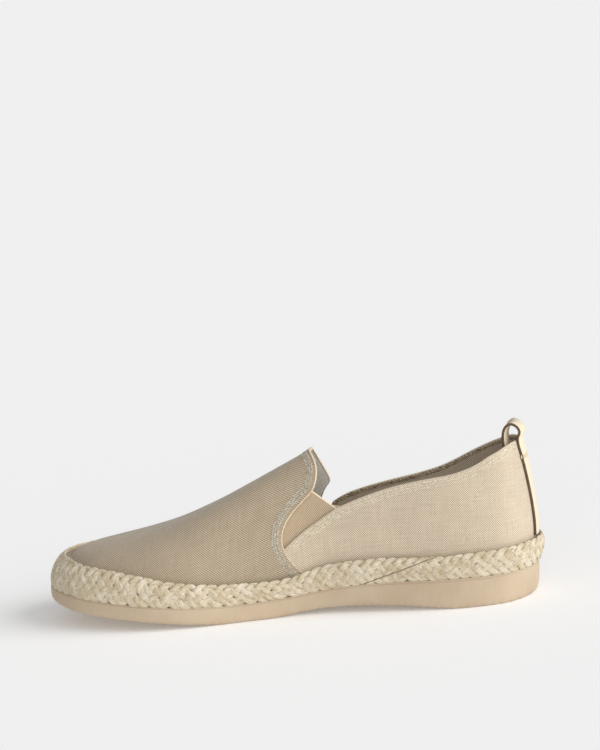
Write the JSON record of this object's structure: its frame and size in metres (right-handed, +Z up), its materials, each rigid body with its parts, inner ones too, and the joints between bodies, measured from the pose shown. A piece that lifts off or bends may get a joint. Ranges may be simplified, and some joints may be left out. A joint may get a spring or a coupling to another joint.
{
  "type": "espadrille shoe",
  "caption": "Right slip-on canvas espadrille with a moulded rubber outsole, plaited jute band, elastic side gores and a heel pull loop.",
  "frame": {"origin": "middle of the shoe's bounding box in plan, on the floor it stands on", "axes": "+X from heel to toe, +Y to the inner side of the foot, +Z up"},
  "size_m": [0.2952, 0.107, 0.1005],
  "materials": {
    "rubber": "matt moulded rubber, peach beige",
    "jute": "plaited straw-coloured jute",
    "insole": "plain woven cloth over foam",
    "canvas": "coarse plain weave in cream and tan yarn",
    "elastic": "fine-ribbed elastic webbing",
    "tape": "smooth cream tape with brown edges"
  },
  "bodies": {
    "root": {"outsole": "rubber", "jute_band": "jute", "insole": "insole", "upper": "canvas", "gore_inner": "elastic", "gore_outer": "elastic", "pull_loop": "tape"}
  },
  "joints": []
}
